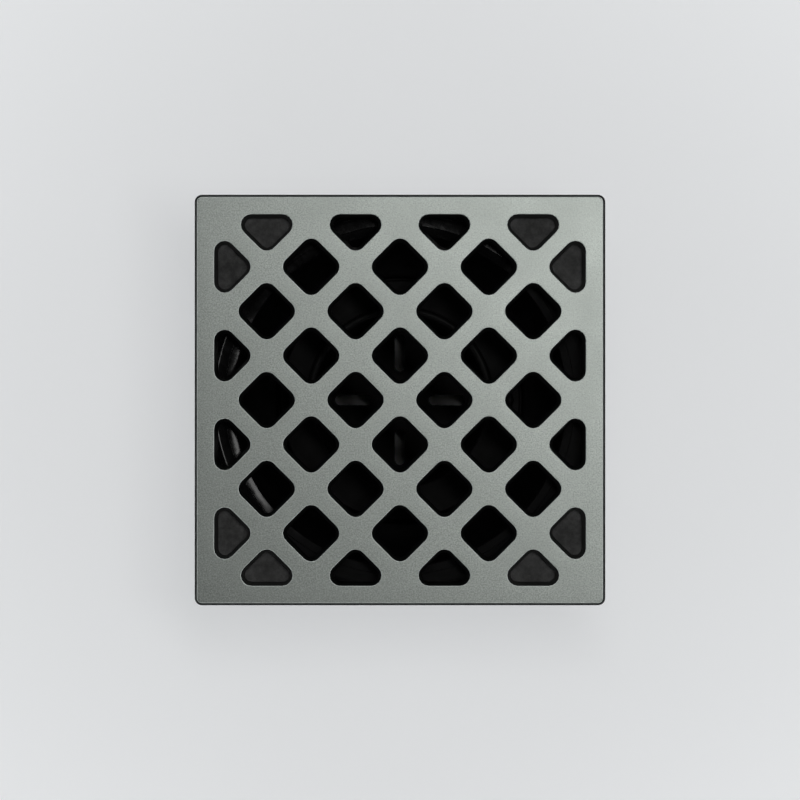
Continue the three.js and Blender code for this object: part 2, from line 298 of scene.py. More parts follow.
class StageSettings(bpy.types.PropertyGroup):
    """The floor, the lights and the camera."""

    floor: FloatVectorProperty(
        name="Floor",
        description="Colour of the floor",
        default=(0.93, 0.933, 0.935),
        subtype="COLOR",
        size=3,
    )
    width: FloatProperty(
        name="Width in view",
        description="Width seen at the grate's face",
        default=0.1875,
        unit="LENGTH",
    )
    distance: FloatProperty(
        name="Camera height", description="Camera above the grate's face", default=1.2, unit="LENGTH"
    )
    key: FloatProperty(name="Key", description="Power of the key light", default=0.985, unit="POWER")
    fill: FloatProperty(name="Fill", description="Strength of the sky", default=2.25)


# ---- Outlines and profiles, in metres ----


def rounded(corners, steps=3):
    """A run of points through (x, z, radius) corners, each turned by an arc of its radius."""
    points = []
    for index, (x, z, radius) in enumerate(corners):
        if radius == 0 or index in (0, len(corners) - 1):
            points.append((x, z))
            continue
        corner = Vector((x, z))
        back = (Vector(corners[index - 1][:2]) - corner).normalized()
        on = (Vector(corners[index + 1][:2]) - corner).normalized()
        half = acos(max(-1.0, min(1.0, back.dot(on)))) / 2
        if pi / 2 - half < NEARLY_STRAIGHT:
            points.append((x, z))
            continue
        centre = corner + (back + on).normalized() * radius / sin(half)
        start = corner + back * radius / tan(half) - centre
        turn = start.angle_signed(corner + on * radius / tan(half) - centre)
        for step in range(steps + 1):
            swung = Matrix.Rotation(-turn * step / steps, 2) @ start
            points.append(tuple(centre + swung))
    return points


def quadratic(start, control, end, steps):
    """Points on a curve that leaves start towards control and reaches end from it, without its ends."""
    points = []
    for step in range(1, steps):
        t = step / steps
        points.append(
            tuple(
                (1 - t) ** 2 * a + 2 * t * (1 - t) * b + t * t * c for a, b, c in zip(start, control, end)
            )
        )
    return points


def square_reach(angle, half, corner):
    """How far a square with rounded corners reaches from its middle at an angle."""
    a = abs((angle + pi / 4) % (pi / 2) - pi / 4)
    core = half - corner
    if half * tan(a) <= core:
        return half / cos(a)
    along = core * (cos(a) + sin(a))
    return along + sqrt(max(0.0, along * along - 2 * core * core + corner * corner))


def arc_outline(corners, radius, steps=6):
    """A rounded polygon as (centre x, centre y, angle) samples, so that it can be drawn at any offset."""
    samples = []
    count = len(corners)
    for index, corner in enumerate(corners):
        corner = Vector(corner)
        back = (Vector(corners[index - 1]) - corner).normalized()
        on = (Vector(corners[(index + 1) % count]) - corner).normalized()
        half = acos(back.dot(on)) / 2
        centre = corner + (back + on).normalized() * radius / sin(half)
        start = corner + back * radius / tan(half) - centre
        sweep = pi - 2 * half
        first = atan2(start.y, start.x)
        samples += [(centre.x, centre.y, first + sweep * step / steps) for step in range(steps + 1)]
    return samples


def offset_ring(samples, radius, z):
    """The outline that samples describe, with its corner arcs at this radius."""
    return [Vector((x + radius * cos(a), y + radius * sin(a), z)) for x, y, a in samples]


# ---- Meshes ----


def finish_mesh(name, bm, *materials):
    """Closes a bmesh into an object with smooth faces, sharp where they meet at a steep angle."""
    bmesh.ops.remove_doubles(bm, verts=bm.verts, dist=WELD)
    bmesh.ops.dissolve_degenerate(bm, dist=TINY_EDGE, edges=bm.edges)
    bmesh.ops.recalc_face_normals(bm, faces=bm.faces)
    mesh = bpy.data.meshes.new(name)
    bm.to_mesh(mesh)
    bm.free()
    mesh.shade_smooth()
    mesh.set_sharp_from_angle(angle=SHARP)
    for material in materials:
        mesh.materials.append(material)
    piece = bpy.data.objects.new(name, mesh)
    bpy.context.scene.collection.objects.link(piece)
    return piece


def even_normals(piece):
    """Keeps flat faces flat where they meet rounded edges."""
    weighted = piece.modifiers.new("Flat faces", "WEIGHTED_NORMAL")
    weighted.keep_sharp = True
    weighted.weight = FLAT_WEIGHT


def skin(bm, rows, closed_loop=False):
    """Faces between successive closed rows of vertices, all of one length. Returns the rows' vertices."""
    made = [[bm.verts.new(point) for point in row] for row in rows]
    pairs = list(zip(made, made[1:]))
    if closed_loop:
        pairs.append((made[-1], made[0]))
    for low, high in pairs:
        count = len(low)
        for i in range(count):
            j = (i + 1) % count
            bm.faces.new((low[i], low[j], high[j], high[i]))
    return made


def capped_skin(bm, rows):
    """A closed body: a skin over rows, with a face at each end."""
    made = skin(bm, rows)
    bm.faces.new(made[0])
    bm.faces.new(made[-1])


def revolve(bm, profile, steps, closed=False):
    """Turns a profile of (radius, z) points about the Z axis. A closed profile joins its two ends."""
    angles = [2 * pi * step / steps for step in range(steps)]
    rows = [[Vector((r * cos(a), r * sin(a), z)) for a in angles] for r, z in profile]
    skin(bm, rows, closed_loop=closed)


def tube(bm, points, radius, dome_height, sides=18):
    """A round bar along points in a level plane, with domed ends."""
    count = len(points)
    tangents = []
    for index in range(count):
        ahead = points[min(index + 1, count - 1)]
        behind = points[max(index - 1, 0)]
        tangents.append((ahead - behind).normalized())
    side = Vector((0, 0, 1))
    dome = [(radius * sin(step * pi / 10), dome_height * cos(step * pi / 10)) for step in range(5)]
    stations = [(points[0] - tangents[0] * rise, tangents[0], reach) for reach, rise in dome]
    stations += [(point, tangent, radius) for point, tangent in zip(points, tangents)]
    stations += [(points[-1] + tangents[-1] * rise, tangents[-1], reach) for reach, rise in reversed(dome)]
    rows = []
    for centre, tangent, reach in stations:
        across = tangent.cross(side).normalized()
        up = across.cross(tangent)
        rows.append(
            [
                centre + (across * cos(2 * pi * i / sides) + up * sin(2 * pi * i / sides)) * reach
                for i in range(sides)
            ]
        )
    skin(bm, rows)


def applied(piece, *cutters, operation="DIFFERENCE"):
    """Cuts piece by each cutter, or joins them to it, and throws the cutters away."""
    for cutter in cutters:
        step = piece.modifiers.new("Cut", "BOOLEAN")
        step.operation = operation
        step.solver = "EXACT"
        step.object = cutter
    graph = bpy.context.evaluated_depsgraph_get()
    mesh = bpy.data.meshes.new_from_object(piece.evaluated_get(graph), depsgraph=graph)
    piece.modifiers.clear()
    piece.data = mesh
    for cutter in cutters:
        bpy.data.objects.remove(cutter)
    return piece


def placed(piece, body, slot, *nodes):
    """Puts a piece on its CAD body, in place of its CAD nodes. slot is not used."""
    even_normals(piece)
    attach(piece, body)
    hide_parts(*nodes)


# ---- Materials ----


# A Mix node keeps a set of sockets for each type it can blend. These are the ones that blend colours.
COLOUR_MIX_INPUTS = (0, 6, 7)
COLOUR_MIX_OUTPUT = 2


class Finish:
    """A node material under construction: its tree, its Principled shader and the piece's coordinates."""

    def __init__(self, name):
        self.material = bpy.data.materials.new(name)
        self.material.use_nodes = True
        self.tree = self.material.node_tree
        self.shader = self.tree.nodes["Principled BSDF"]
        self.place = self.add("ShaderNodeTexCoord").outputs["Object"]

    def add(self, kind, **values):
        """A new node of one kind, with its settings."""
        node = self.tree.nodes.new(kind)
        for key, value in values.items():
            setattr(node, key, value)
        return node

    def link(self, source, target):
        """Joins a node's output to another's input."""
        self.tree.links.new(source, target)

    def feed(self, value, socket):
        """Gives an input its value: another node's output, a number, or a colour's three numbers."""
        if hasattr(value, "links"):
            self.link(value, socket)
        elif isinstance(value, tuple):
            socket.default_value = (*value, 1.0)
        else:
            socket.default_value = value

    def noise(self, size, detail=2.0, roughness=0.5):
        """Soft noise whose blotches are about size metres across."""
        node = self.add("ShaderNodeTexNoise")
        node.inputs["Scale"].default_value = 1 / size
        node.inputs["Detail"].default_value = detail
        node.inputs["Roughness"].default_value = roughness
        self.link(self.place, node.inputs["Vector"])
        return node.outputs["Fac"]

    def ranged(self, source, low, high, from_low=0.3, from_high=0.7):
        """source, which runs from from_low to from_high, brought to run from low to high."""
        node = self.add("ShaderNodeMapRange")
        node.inputs["From Min"].default_value = from_low
        node.inputs["From Max"].default_value = from_high
        node.inputs["To Min"].default_value = low
        node.inputs["To Max"].default_value = high
        self.link(source, node.inputs["Value"])
        return node.outputs["Result"]

    def blend(self, factor, first, second):
        """A colour between two others, each a socket or three numbers."""
        node = self.add("ShaderNodeMix", data_type="RGBA")
        factor_socket, first_socket, second_socket = (node.inputs[i] for i in COLOUR_MIX_INPUTS)
        self.link(factor, factor_socket)
        self.feed(first, first_socket)
        self.feed(second, second_socket)
        return node.outputs[COLOUR_MIX_OUTPUT]

    def combined(self, operation, first, second):
        """One value made of two, each a socket or a number."""
        node = self.add("ShaderNodeMath", operation=operation)
        self.feed(first, node.inputs[0])
        self.feed(second, node.inputs[1])
        return node.outputs[0]

    def part_of(self, vector, axis):
        """The X, Y or Z of a vector socket."""
        split = self.add("ShaderNodeSeparateXYZ")
        self.link(vector, split.inputs[0])
        return split.outputs[axis]

    def upright(self):
        """How far a surface looks up: 1 on level faces, 0 on walls, -1 on undersides."""
        return self.part_of(self.add("ShaderNodeNewGeometry").outputs["Normal"], "Z")

    def bumps(self, *layers):
        """Relief from (height socket, depth in metres) layers, the coarsest first."""
        normal = None
        for height, depth in layers:
            bump = self.add("ShaderNodeBump")
            bump.inputs["Strength"].default_value = 1.0
            bump.inputs["Distance"].default_value = depth
            self.link(height, bump.inputs["Height"])
            if normal is not None:
                self.link(normal, bump.inputs["Normal"])
            normal = bump.outputs["Normal"]
        self.link(normal, self.shader.inputs["Normal"])


def tinted(colour, factor):
    """A colour made lighter or darker."""
    return tuple(channel * factor for channel in colour)


def satin_metal(colour):
    """Blasted and plated casting: a fine grain, with a painted highlight along the arrises and painted
    shade on the walls of the holes and the underside.
    """
    finish = Finish("Satin cast metal")
    shader = finish.shader
    shader.inputs["Metallic"].default_value = 1.0
    grain = finish.noise(0.34 * MM, 2.0, 0.7)
    speck = finish.noise(0.3 * MM, 1.0)
    cloud = finish.noise(14 * MM, 3.0, 0.55)
    face = finish.blend(finish.ranged(grain, 0.0, 1.0), tinted(colour, 0.68), tinted(colour, 1.32))
    face = finish.blend(finish.ranged(cloud, 0.0, 0.35), face, tinted(colour, 0.93))
    upright = finish.upright()
    # Painted highlight: where the face starts to round off at an arris, its colour is painted up to 1.9
    # times lighter, a rim of light along every edge.
    painted_arris_highlight = finish.ranged(upright, 0.45, 0.0, 0.93, 0.998)
    face = finish.blend(painted_arris_highlight, face, tinted(colour, 1.9))
    # Painted shade: where the surface turns from level to wall or underside, the colour is painted down to
    # 7 per cent of the metal's, the dark of the holes.
    level = finish.ranged(upright, 0.0, 1.0, 0.15, 0.5)
    finish.link(finish.blend(level, tinted(colour, 0.07), face), shader.inputs["Base Color"])
    rough = finish.combined("ADD", finish.ranged(grain, -0.035, 0.035), finish.ranged(cloud, 0.33, 0.35))
    finish.link(rough, shader.inputs["Roughness"])
    finish.bumps((finish.noise(3 * MM, 2.0), 0.008 * MM), (grain, 0.014 * MM), (speck, 0.004 * MM))
    return finish.material


def moulded_plastic(name, colour, roughness, texture, specular, dust=0.0):
    """Black moulding with a faint orange peel and duller patches. dust is how much has settled on what is
    level and sheltered by the grate."""
    finish = Finish(name)
    shader = finish.shader
    patches = finish.noise(9 * MM, 4.0, 0.6)
    fine = finish.noise(0.5 * MM, 2.0)
    shade = finish.blend(finish.ranged(patches, 0.0, 1.0), tinted(colour, 0.8), tinted(colour, 1.25))
    rough = finish.combined(
        "ADD", finish.ranged(patches, roughness * 0.85, roughness * 1.3), finish.ranged(fine, -0.02, 0.02)
    )
    if dust:
        level = finish.ranged(finish.upright(), 0.0, 1.0, 0.9, 0.99)
        height = finish.part_of(finish.place, "Z")
        sheltered = finish.ranged(height, dust, 0.0, GRATE_LOW.z, GRATE_HIGH.z - 1 * MM)
        scatter = finish.ranged(finish.noise(1.6 * MM, 5.0, 0.7), 0.45, 1.0, 0.4, 0.7)
        fall = finish.combined("MULTIPLY", scatter, finish.combined("MULTIPLY", level, sheltered))
        shade = finish.blend(fall, shade, DUST)
        rough = finish.combined("ADD", rough, finish.combined("MULTIPLY", fall, 0.25))
    finish.link(shade, shader.inputs["Base Color"])
    finish.link(rough, shader.inputs["Roughness"])
    shader.inputs["IOR"].default_value = 1.5
    shader.inputs["Specular IOR Level"].default_value = specular
    finish.bumps((finish.noise(4 * MM, 2.0), texture * 2), (fine, texture))
    return finish.material


def washed_ledge(colour):
    """Black moulding kept glossy where water runs over it, and dulled by a dried film on its other side.
    The film's edge wanders about the diagonal from the front left corner to the back right one."""
    finish = Finish("Riser ledge")
    shader = finish.shader
    patches = finish.noise(5 * MM, 4.0, 0.6)
    # Painted shade: the ledge under the grate is painted darker than the rest of the moulding, 45 to 80 per
    # cent of its colour.
    black = finish.blend(finish.ranged(patches, 0.0, 1.0), tinted(colour, 0.45), tinted(colour, 0.8))
    finish.link(black, shader.inputs["Base Color"])
    x, y = (finish.part_of(finish.place, axis) for axis in "XY")
    across = finish.combined("SUBTRACT", y, x)
    wander = finish.ranged(finish.noise(7 * MM, 2.0), -5 * MM, 5 * MM)
    film = finish.ranged(finish.combined("ADD", across, wander), 1.0, 0.0, -8 * MM, 8 * MM)
    rough = finish.combined(
        "ADD", finish.ranged(film, 0.1, 0.62, 0.0, 1.0), finish.ranged(patches, -0.02, 0.05)
    )
    finish.link(rough, shader.inputs["Roughness"])
    shader.inputs["IOR"].default_value = 1.5
    shader.inputs["Specular IOR Level"].default_value = 0.18
    finish.bumps((finish.noise(5 * MM, 2.0), 0.05 * MM), (finish.noise(1.4 * MM, 3.0), 0.006 * MM))
    return finish.material


def soft_rubber(name):
    """Matt black rubber with a bloom of lighter dust."""
    finish = Finish(name)
    shader = finish.shader
    bloom = finish.noise(3 * MM, 5.0, 0.65)
    fine = finish.noise(0.25 * MM, 2.0)
    colour = finish.blend(finish.ranged(bloom, 0.0, 1.0), RUBBER, RUBBER_BLOOM)
    finish.link(colour, shader.inputs["Base Color"])
    finish.link(finish.ranged(bloom, 0.62, 0.86), shader.inputs["Roughness"])
    finish.bumps((fine, 0.012 * MM))
    return finish.material


def coated_wire():
    """Wire dipped in black nylon, with the slow ripple of the dip."""
    finish = Finish("Coated wire")
    shader = finish.shader
    ripple = finish.noise(1.8 * MM, 3.0, 0.55)
    fine = finish.noise(0.3 * MM, 2.0)
    colour = finish.blend(finish.ranged(ripple, 0.0, 1.0), NYLON_DARK, NYLON_LIGHT)
    finish.link(colour, shader.inputs["Base Color"])
    finish.link(finish.ranged(ripple, 0.4, 0.56), shader.inputs["Roughness"])
    shader.inputs["Specular IOR Level"].default_value = 0.18
    finish.bumps((ripple, 0.03 * MM), (fine, 0.004 * MM))
    return finish.material


def stage_floor(colour):
    """A plain pale floor, very slightly uneven in tone."""
    finish = Finish("Pale floor")
    shader = finish.shader
    cloud = finish.ranged(finish.noise(0.4, 3.0), 0.0, 1.0)
    shade = finish.blend(cloud, tinted(colour, 0.985), tinted(colour, 1.015))
    finish.link(shade, shader.inputs["Base Color"])
    shader.inputs["Roughness"].default_value = 0.75
    shader.inputs["Specular IOR Level"].default_value = 0.2
    return finish.material


# ---- The grate ----


def square_corners(half):
    """The corners of a square about the middle, anticlockwise."""
    return [(-half, -half), (half, -half), (half, half), (-half, half)]


def diamond_corners(x, y, half):
    """The corners of a square that stands on one of them, half a diagonal from its middle."""
    return [(x - half, y), (x, y - half), (x + half, y), (x, y + half)]


def ring_edges(bm, ring):
    """The edges of a closed row of vertices."""
    return [bm.edges.get((ring[i - 1], ring[i])) for i in range(len(ring))]


def grate_holes(sizes):
    """The outline of every hole, as arc samples: whole diamonds on every second crossing of the lattice,
    and triangles where the border cuts them off."""
    half_diagonal = sizes.step - sizes.web / sqrt(2)
    edge = GRATE_HIGH.x - sizes.border
    vertex = (sizes.reach + 1) * sizes.step - half_diagonal
    holes = []
    for a in range(-sizes.reach, sizes.reach + 1):
        for b in range(-sizes.reach, sizes.reach + 1):
            if (a + b) % 2:
                corners = diamond_corners(a * sizes.step, b * sizes.step, half_diagonal)
                holes.append(arc_outline(corners, sizes.hole_corner))
        if a % 2:
            along = a * sizes.step
            reach = edge - vertex
            triangle = [(along, vertex), (along + reach, edge), (along - reach, edge)]
            samples = arc_outline(triangle, sizes.hole_corner)
            for turn in QUARTERS:
                c, s = cos(turn), sin(turn)
                holes.append([(x * c - y * s, x * s + y * c, angle + turn) for x, y, angle in samples])
    return holes


def wall_rows(samples, radius, growing, sizes, steps=4):
    """Rings down one wall of the plate, from the face to the underside. growing is 1 on a hole, where the
    opening widens into the arris, and -1 on the plate's outer edge, where the plate shrinks into it."""
    top, bottom = GRATE_HIGH.z, GRATE_LOW.z
    rows = []
    for step in range(steps + 1):
        turn = step / steps * pi / 2
        out = growing * sizes.arris * (1 - sin(turn))
        rows.append(offset_ring(samples, radius + out, top - sizes.arris * (1 - cos(turn))))
    narrow = sizes.draft if growing > 0 else 0.0
    foot = sizes.arris * 0.7
    for step in range(steps + 1):
        turn = step / steps * pi / 2
        out = growing * foot * (1 - cos(turn))
        rows.append(offset_ring(samples, radius - narrow + out, bottom + foot * (1 - sin(turn))))
    return rows


def pad_centre(sign_x, sign_y):
    """The middle of the pad at one corner, seen from above."""
    return sign_x * (PAD_LOW.x + PAD_HIGH.x) / 2, sign_y * (PAD_LOW.y + PAD_HIGH.y) / 2


class DRAIN_OT_cast_grate(bpy.types.Operator):
    """Cast the plate with its lattice of drafted holes"""

    bl_idname = "drain_cover.cast_grate"
    bl_label = "Cast grate"

    def execute(self, context):
        sizes = context.scene.drain_grate
        bm = bmesh.new()
        outline = arc_outline(square_corners(GRATE_HIGH.x), sizes.corner, 8)
        walls = [wall_rows(outline, sizes.corner, -1, sizes)]
        walls += [wall_rows(samples, sizes.hole_corner, 1, sizes) for samples in grate_holes(sizes)]
        top_edges, bottom_edges = [], []
        for rows in walls:
            made = skin(bm, rows)
            top_edges += ring_edges(bm, made[0])
            bottom_edges += ring_edges(bm, made[-1])
        socket = 1.7 * MM
        depth = 2.5 * MM
        for signs in CORNERS.values():
            samples = [(*pad_centre(*signs), 2 * pi * step / 24) for step in range(24)]
            rows = [offset_ring(samples, socket, GRATE_LOW.z + rise) for rise in (0, depth)]
            made = skin(bm, rows)
            bm.faces.new(made[1])
            bottom_edges += ring_edges(bm, made[0])
        bmesh.ops.triangle_fill(bm, edges=top_edges, use_beauty=True)
        bmesh.ops.triangle_fill(bm, edges=bottom_edges, use_beauty=True)
        casting = finish_mesh("grate_casting", bm, satin_metal(sizes.colour))
        placed(casting, "grate_body", "satin_metal", "grate")
        return {"FINISHED"}


class DRAIN_OT_corner_pads(bpy.types.Operator):
    """Mould the four rubber pads under the grate's corners"""

    bl_idname = "drain_cover.corner_pads"
    bl_label = "Corner pads"

    def execute(self, context):
        rubber = soft_rubber("Pad rubber")
        radius = (PAD_HIGH.x - PAD_LOW.x) / 2
        disc_top = PAD_LOW.z + 1.05 * MM
        stem = 1.4 * MM
        barb = stem * 1.12
        profile = rounded(
            [
                (0, PAD_LOW.z, 0),
                (radius, PAD_LOW.z, 0.3 * MM),
                (radius, disc_top, 0.2 * MM),
                (stem, disc_top, 0.2 * MM),
                (stem, PAD_HIGH.z - 0.9 * MM, 0.2 * MM),
                (barb, PAD_HIGH.z - 0.7 * MM, 0.2 * MM),
                (stem * 0.75, PAD_HIGH.z, 0.3 * MM),
                (0, PAD_HIGH.z, 0),
            ]
        )
        for name, signs in CORNERS.items():
            bm = bmesh.new()
            revolve(bm, profile, steps=32)
            bmesh.ops.translate(bm, verts=bm.verts, vec=(*pad_centre(*signs), 0))
            pad = finish_mesh(f"corner_pad_{name}", bm, rubber)
            placed(pad, "grate_body", "pad_rubber", f"grate_pad_{name}")
        return {"FINISHED"}


# ---- The riser ----


def column_angles(sizes):
    """Angles round the riser: even steps, close steps through the head's corners, and where pockets end."""
    pocket_half = RISER_HIGH.x - sizes.skirt
    pocket_end = acos(pocket_half / (sizes.bore + sizes.bore_wall))
    near_corner = [radians(43.6 + 2.8 * step / 10) for step in range(11)]
    angles = set()
    for quarter in QUARTERS:
        for step in range(36):
            angle = radians(2.5 * step)
            if abs(angle - pi / 4) > radians(1.6):
                angles.add(round(quarter + angle, 9))
        for angle in [*near_corner, pocket_end, pi / 2 - pocket_end]:
            angles.add(round(quarter + angle, 9))
    return sorted(angles) + [2 * pi]


def thread_at(sizes, angle):
    """The thread's outline at one angle round the neck. It runs out at both ends."""
    depth = sizes.crest - sizes.root
    turns = int((THREAD_HIGH - THREAD_LOW) / sizes.pitch) + 2
    first = THREAD_SHAPE[0][0]
    points = []
    for turn in range(turns):
        for along, share in THREAD_SHAPE:
            rise = turn + angle / (2 * pi) - 1
            z = THREAD_LOW + rise * sizes.pitch + (along - first) * MM
            z = min(THREAD_HIGH, max(THREAD_LOW, z))
            fade = min(1.0, (z - THREAD_LOW) / (1.2 * sizes.pitch), (THREAD_HIGH - z) / (0.8 * sizes.pitch))
            points.append((sizes.root + depth * share * fade, z))
    return points


def neck_profile(sizes):
    """The neck's lower end, from inside the throat round to the foot of the thread."""
    return rounded(
        [
            (sizes.throat, 2 * MM, 0),
            (sizes.throat, 0, 0.5 * MM),
            (sizes.root - 0.8 * MM, 0, 0.3 * MM),
            (sizes.root, 0.8 * MM, 0.3 * MM),
            (sizes.root, THREAD_LOW, 0),
        ]
    )


def outside_profile(sizes):
    """From the top of the thread over the shoulder and up the bowl's outside to the head's underside."""
    bowl_outside = sizes.bowl + sizes.bowl_wall
    shoulder = (sizes.seat + sizes.bowl_wall, sizes.shoulder_z + 1 * MM)
    control = (bowl_outside - 1 * MM, sizes.shoulder_z + 5 * MM)
    under_bowl = quadratic(shoulder, control, (bowl_outside, sizes.head_base), 14)
    return rounded(
        [
            (sizes.root, THREAD_HIGH, 0),
            (sizes.root, sizes.shoulder_z, 0.7 * MM),
            (*shoulder, 0.9 * MM),
            *[(r, z, 0) for r, z in under_bowl],
            (bowl_outside, sizes.head_base, 0.9 * MM),
            (sizes.bore + sizes.bore_wall - 1.4 * MM, sizes.head_base, 0),
        ]
    )


def skirt_profile(sizes):
    """The head's side with its groove, the rim, and the shelf's corner, as (offset from the side, z)."""
    rim_top = RISER_HIGH.z
    return rounded(
        [
            (-sizes.skirt, sizes.head_base, 0),
            (0, sizes.head_base, 0.5 * MM),
            (0, GROOVE_LOW, 0.12 * MM),
            (-GROOVE_DEPTH, GROOVE_LOW, 0.2 * MM),
            (-GROOVE_DEPTH, GROOVE_HIGH, 0.2 * MM),
            (0, GROOVE_HIGH, 0.12 * MM),
            (0, rim_top, 0.12 * MM),
            (-sizes.rim, rim_top, 0.12 * MM),
            (-sizes.rim, sizes.shelf_z, 0.35 * MM),
            (-sizes.rim - 0.6 * MM, sizes.shelf_z, 0),
        ]
    )[1:]


def inside_profiles(sizes):
    """The shelf's edge, bore and ledge with its sloping lip, and then the bowl, its seat and the throat."""
    edge_of_ledge = (sizes.bowl, sizes.ledge_z - 0.25 * MM)
    bend = (sizes.bowl - sizes.lip * 0.53, edge_of_ledge[1] - 0.06 * MM)
    mouth = (sizes.bowl - sizes.lip, bend[1] - 0.14 * MM)
    bowl_foot = (sizes.seat, sizes.seat_z + 2.6 * MM)
    control = (mouth[0] - 1 * MM, sizes.seat_z + 6.6 * MM)
    in_bowl = quadratic(bowl_foot, control, (mouth[0], mouth[1] - 0.9 * MM), 20)
    ledge = rounded(
        [
            (sizes.bore + 0.9 * MM, sizes.shelf_z, 0),
            (sizes.bore, sizes.shelf_z, 0.45 * MM),
            (sizes.bore, sizes.ledge_z, 2.2 * MM),
            (sizes.bowl + 0.12 * MM, sizes.ledge_z, 0.16 * MM),
            (*edge_of_ledge, 0),
            *[(r, z, 0) for r, z in quadratic(edge_of_ledge, bend, mouth, 8)],
        ],
        steps=5,
    )
    bowl = rounded(
        [
            (*bend, 0),
            (*mouth, 0.4 * MM),
            *[(r, z, 0) for r, z in reversed(in_bowl[:-1])],
            (*bowl_foot, 0.5 * MM),
            (sizes.seat, sizes.seat_z, 0.3 * MM),
            (sizes.throat, sizes.seat_z, 0.5 * MM),
            (sizes.throat, 20 * MM, 0),
        ],
        steps=5,
    )[1:]
    return ledge, bowl


def riser_columns(sizes):
    """One closed outline for each angle round the riser, all with the same number of points, and whether
    each has a pocket above the head's lower edge. Also the first of the four points that line the pocket,
    and the points where the ledge's finish and then the bowl's start."""
    half = RISER_HIGH.x
    corner = sizes.corner + sizes.rim
    bore_outside = sizes.bore + sizes.bore_wall
    base, ceiling = sizes.head_base, sizes.shelf_z - sizes.shelf
    neck, outside, skirt = neck_profile(sizes), outside_profile(sizes), skirt_profile(sizes)
    ledge, bowl = inside_profiles(sizes)
    # The ledge's finish starts half way round the shelf's rounded edge.
    half_round_edge = 4

    columns, with_pocket = [], []
    for angle in column_angles(sizes):
        pocket = square_reach(angle, half - sizes.skirt, 1 * MM)
        has_pocket = pocket > bore_outside - POCKET_SLACK
        if has_pocket:
            pocket = max(pocket, bore_outside)
            walls = [(bore_outside, base), (bore_outside, ceiling), (pocket, ceiling), (pocket, base)]
        else:
            walls = [(min(bore_outside, square_reach(angle, half, corner) - 0.6 * MM), base)] * 4
        column = [*neck, *thread_at(sizes, angle), *outside]
        pocket_start = len(column)
        column += walls
        column += [(square_reach(angle, half + offset, corner + offset), z) for offset, z in skirt]
        finish_starts = (len(column) + half_round_edge, len(column) + len(ledge))
        column += ledge + bowl
        columns.append([Vector((r * cos(angle), r * sin(angle), z)) for r, z in column])
        with_pocket.append(has_pocket)
    return columns, with_pocket, pocket_start, finish_starts


def gusset(sizes, plastic, turn):
    """One upright plate on a diagonal, from inside the bowl's wall out to the head's corner."""
    corner = ((RISER_HIGH.x - sizes.skirt * 0.7) * sqrt(2), sizes.head_base)
    foot = (sizes.seat + 1 * MM, sizes.shoulder_z + 3.4 * MM)
    ceiling = sizes.shelf_z - 1 * MM
    bore_middle = sizes.bore + sizes.bore_wall / 2
    bowl_middle = sizes.bowl + sizes.bowl_wall / 2
    wall_top = (bowl_middle, sizes.head_base + 2 * MM)
    lower = quadratic(foot, (sizes.bowl + 6 * MM, sizes.shoulder_z + 5 * MM), corner, 16)
    in_wall = quadratic(foot, (bowl_middle - 1 * MM, sizes.seat_z + 5 * MM), wall_top, 12)
    outline = [foot, *lower, corner, (corner[0], ceiling), (bore_middle, ceiling)]
    outline += [(bore_middle, sizes.head_base + 3.2 * MM), wall_top, *reversed(in_wall)]
    edge = 0.35 * MM
    half = 1.1 * MM
    rows = []
    for across, lift in ((-half, edge), (edge - half, 0.0), (half - edge, 0.0), (half, edge)):
        lifts = [lift if index <= len(lower) else 0.0 for index in range(len(outline))]
        rows.append([Vector((r, across, z + up)) for (r, z), up in zip(outline, lifts)])
    bm = bmesh.new()
    capped_skin(bm, rows)
    bmesh.ops.rotate(bm, verts=bm.verts, cent=(0, 0, 0), matrix=Matrix.Rotation(turn, 3, "Z"))
    return finish_mesh("gusset", bm, plastic)


class DRAIN_OT_mould_riser(bpy.types.Operator):
    """Mould the square head, the bowl and the threaded neck in one piece"""

    bl_idname = "drain_cover.mould_riser"
    bl_label = "Mould riser"

    def execute(self, context):
        sizes = context.scene.drain_riser
        satin = moulded_plastic("Riser plastic", sizes.colour, 0.46, 0.012 * MM, specular=0.34, dust=0.85)
        ledge_gloss_and_painted_shade = washed_ledge(sizes.colour)
        # Painted shade: the bowl is a darker copy of the riser's plastic, 60 per cent of its colour,
        # besides being duller.
        bowl_dull_and_painted_shade = moulded_plastic("Riser bowl", tinted(sizes.colour, 0.6), 0.5, 0.01 * MM, specular=0.12)
        columns, with_pocket, pocket_start, finish_starts = riser_columns(sizes)
        bm = bmesh.new()
        made = [[bm.verts.new(point) for point in column] for column in columns]
        count = len(columns[0])
        pocket_strips = {pocket_start, pocket_start + 1, pocket_start + 2}
        for index in range(len(made) - 1):
            low, high = made[index], made[index + 1]
            open_pocket = with_pocket[index] and with_pocket[index + 1]
            for i in range(count):
                if i in pocket_strips and not open_pocket:
                    continue
                j = (i + 1) % count
                face = bm.faces.new((low[i], high[i], high[j], low[j]))
                face.material_index = sum(i >= first for first in finish_starts)
        shell = finish_mesh("riser_moulding", bm, satin, ledge_gloss_and_painted_shade, bowl_dull_and_painted_shade)
        plates = [gusset(sizes, satin, pi / 4 + turn) for turn in QUARTERS]
        shell = applied(shell, *plates, operation="UNION")
        shell.data.set_sharp_from_angle(angle=SHARP)
        placed(shell, "riser_body", "riser_plastic", "riser")
        return {"FINISHED"}


# ---- The hair trap ----


def stadium_cutter(name, length, width, depth, material):
    """A bar with round ends, length along Z, width along Y and depth along X, centred on the origin."""
    bm = bmesh.new()
    outline = []
    end_radius = width / 2
    straight = length / 2 - end_radius
    for end in (1, -1):
        for step in range(9):
            turn = pi * step / 8
            outline.append((end * end_radius * cos(turn), end * (straight + end_radius * sin(turn))))
    rows = [[Vector((x, y, z)) for y, z in outline] for x in (-depth / 2, depth / 2)]
    capped_skin(bm, rows)
    return finish_mesh(name, bm, material)


